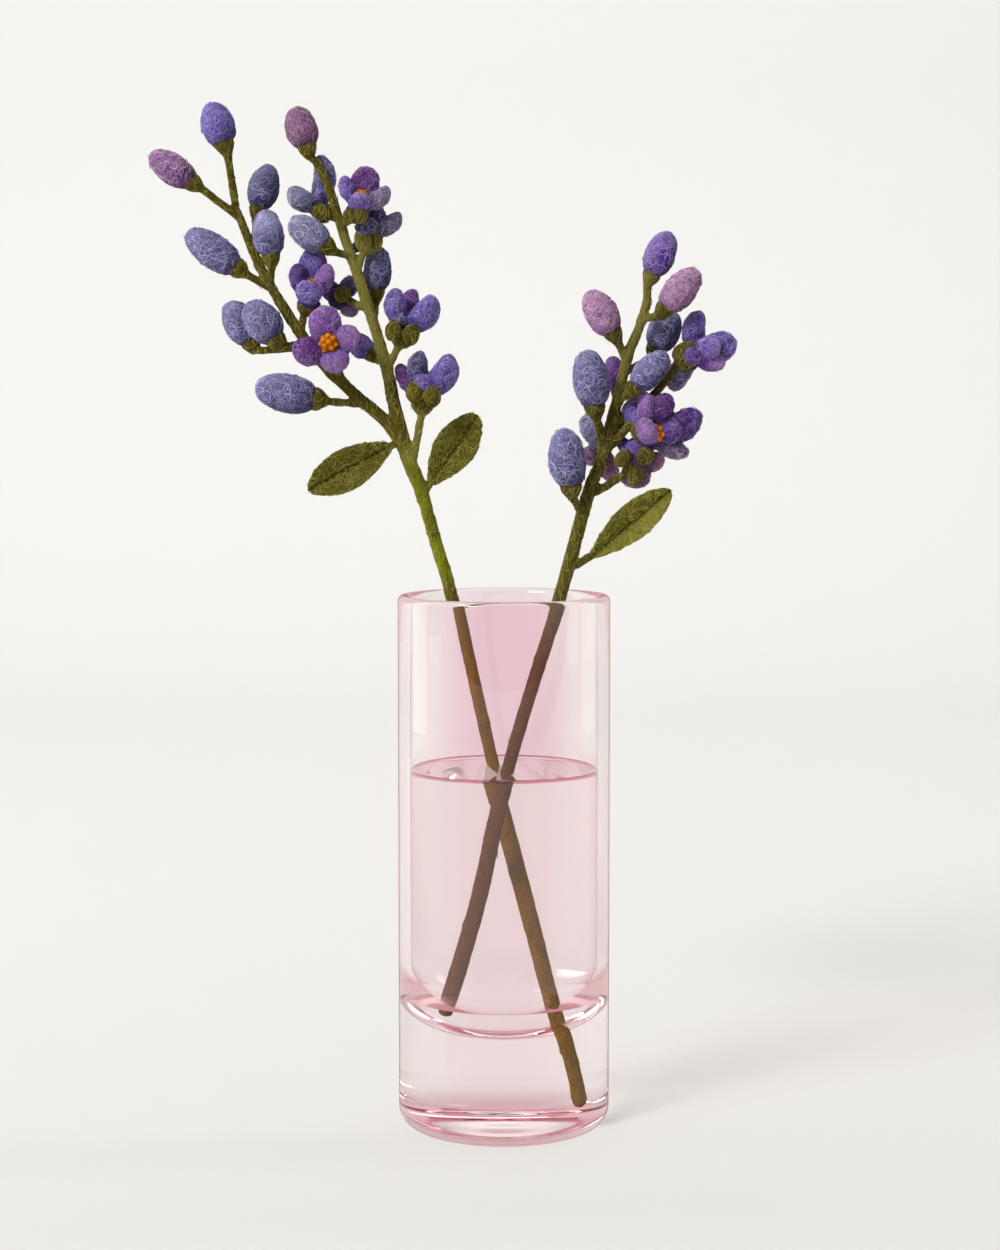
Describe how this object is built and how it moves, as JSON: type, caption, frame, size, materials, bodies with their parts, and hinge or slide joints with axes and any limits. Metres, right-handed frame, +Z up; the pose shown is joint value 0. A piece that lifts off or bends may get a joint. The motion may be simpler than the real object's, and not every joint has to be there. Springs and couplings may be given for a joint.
{
  "type": "felt flower sprigs in glass vase",
  "caption": "Sprigs of needle-felted wool flowers and buds on branching stems, standing crossed in a heavy-based clear cylinder vase part-filled with water.",
  "frame": {"origin": "centre of the vase's underside, on the surface it stands on", "axes": "+Z up along the vase's axis, +X to the right and +Y away as seen from the front, with the larger sprig leaning to -X"},
  "size_m": [0.207, 0.0934, 0.365],
  "materials": {
    "pink_glass": "clear rose-pink blown glass, fire-polished rim and smooth foot",
    "water": "clear still water",
    "felt_olive": "needle-felted olive wool over a wire, with yellow-green fibres",
    "felt_leaf": "flat needle-felted olive wool, lighter at the edge",
    "felt_orange": "bright orange wool needled into small knots",
    "felt_violet": "needle-felted violet wool with lighter fibres on its surface",
    "felt_plum": "needle-felted plum wool with lighter fibres on its surface",
    "felt_blue": "needle-felted blue wool with lighter fibres on its surface",
    "felt_slate": "needle-felted slate wool with lighter fibres on its surface",
    "felt_lilac": "needle-felted lilac wool with lighter fibres on its surface",
    "felt_mauve": "needle-felted mauve wool with lighter fibres on its surface"
  },
  "bodies": {
    "root": {"vase": "pink_glass", "water": "water", "left_sprig_stem": "felt_olive", "right_sprig_stem": "felt_olive", "left_sprig_leaf_1": "felt_leaf", "left_sprig_leaf_2": "felt_leaf", "right_sprig_leaf_1": "felt_leaf", "left_sprig_bud_1": "felt_violet", "left_sprig_bud_2": "felt_lilac", "left_sprig_bud_3": "felt_slate", "left_sprig_bud_4": "felt_blue", "left_sprig_bud_5": "felt_blue", "left_sprig_bud_6": "felt_blue", "left_sprig_bud_7": "felt_blue", "left_sprig_bud_8": "felt_blue", "left_sprig_bud_9": "felt_mauve", "left_sprig_bud_10": "felt_lilac", "left_sprig_bud_11": "felt_slate", "left_sprig_bud_12": "felt_violet", "left_sprig_flower_1_petals": "felt_violet", "left_sprig_flower_1_centre": "felt_orange", "left_sprig_flower_2_petals": "felt_plum", "left_sprig_flower_2_centre": "felt_orange", "left_sprig_flower_3_petals": "felt_slate", "left_sprig_flower_3_centre": "felt_orange", "left_sprig_flower_4_petals": "felt_violet", "left_sprig_flower_4_centre": "felt_orange", "left_sprig_flower_5_petals": "felt_mauve", "left_sprig_flower_5_centre": "felt_orange", "left_sprig_flower_6_petals": "felt_slate", "left_sprig_flower_6_centre": "felt_orange", "left_sprig_flower_7_petals": "felt_violet", "left_sprig_flower_7_centre": "felt_orange", "left_sprig_flower_8_petals": "felt_violet", "left_sprig_flower_8_centre": "felt_orange", "right_sprig_bud_1": "felt_violet", "right_sprig_bud_2": "felt_lilac", "right_sprig_bud_3": "felt_lilac", "right_sprig_bud_4": "felt_slate", "right_sprig_bud_5": "felt_blue", "right_sprig_bud_6": "felt_blue", "right_sprig_bud_7": "felt_blue", "right_sprig_bud_8": "felt_slate", "right_sprig_bud_9": "felt_violet", "right_sprig_flower_1_petals": "felt_violet", "right_sprig_flower_1_centre": "felt_orange", "right_sprig_flower_2_petals": "felt_violet", "right_sprig_flower_2_centre": "felt_orange", "right_sprig_flower_3_petals": "felt_mauve", "right_sprig_flower_3_centre": "felt_orange", "right_sprig_flower_4_petals": "felt_mauve", "right_sprig_flower_4_centre": "felt_orange"}
  },
  "joints": []
}
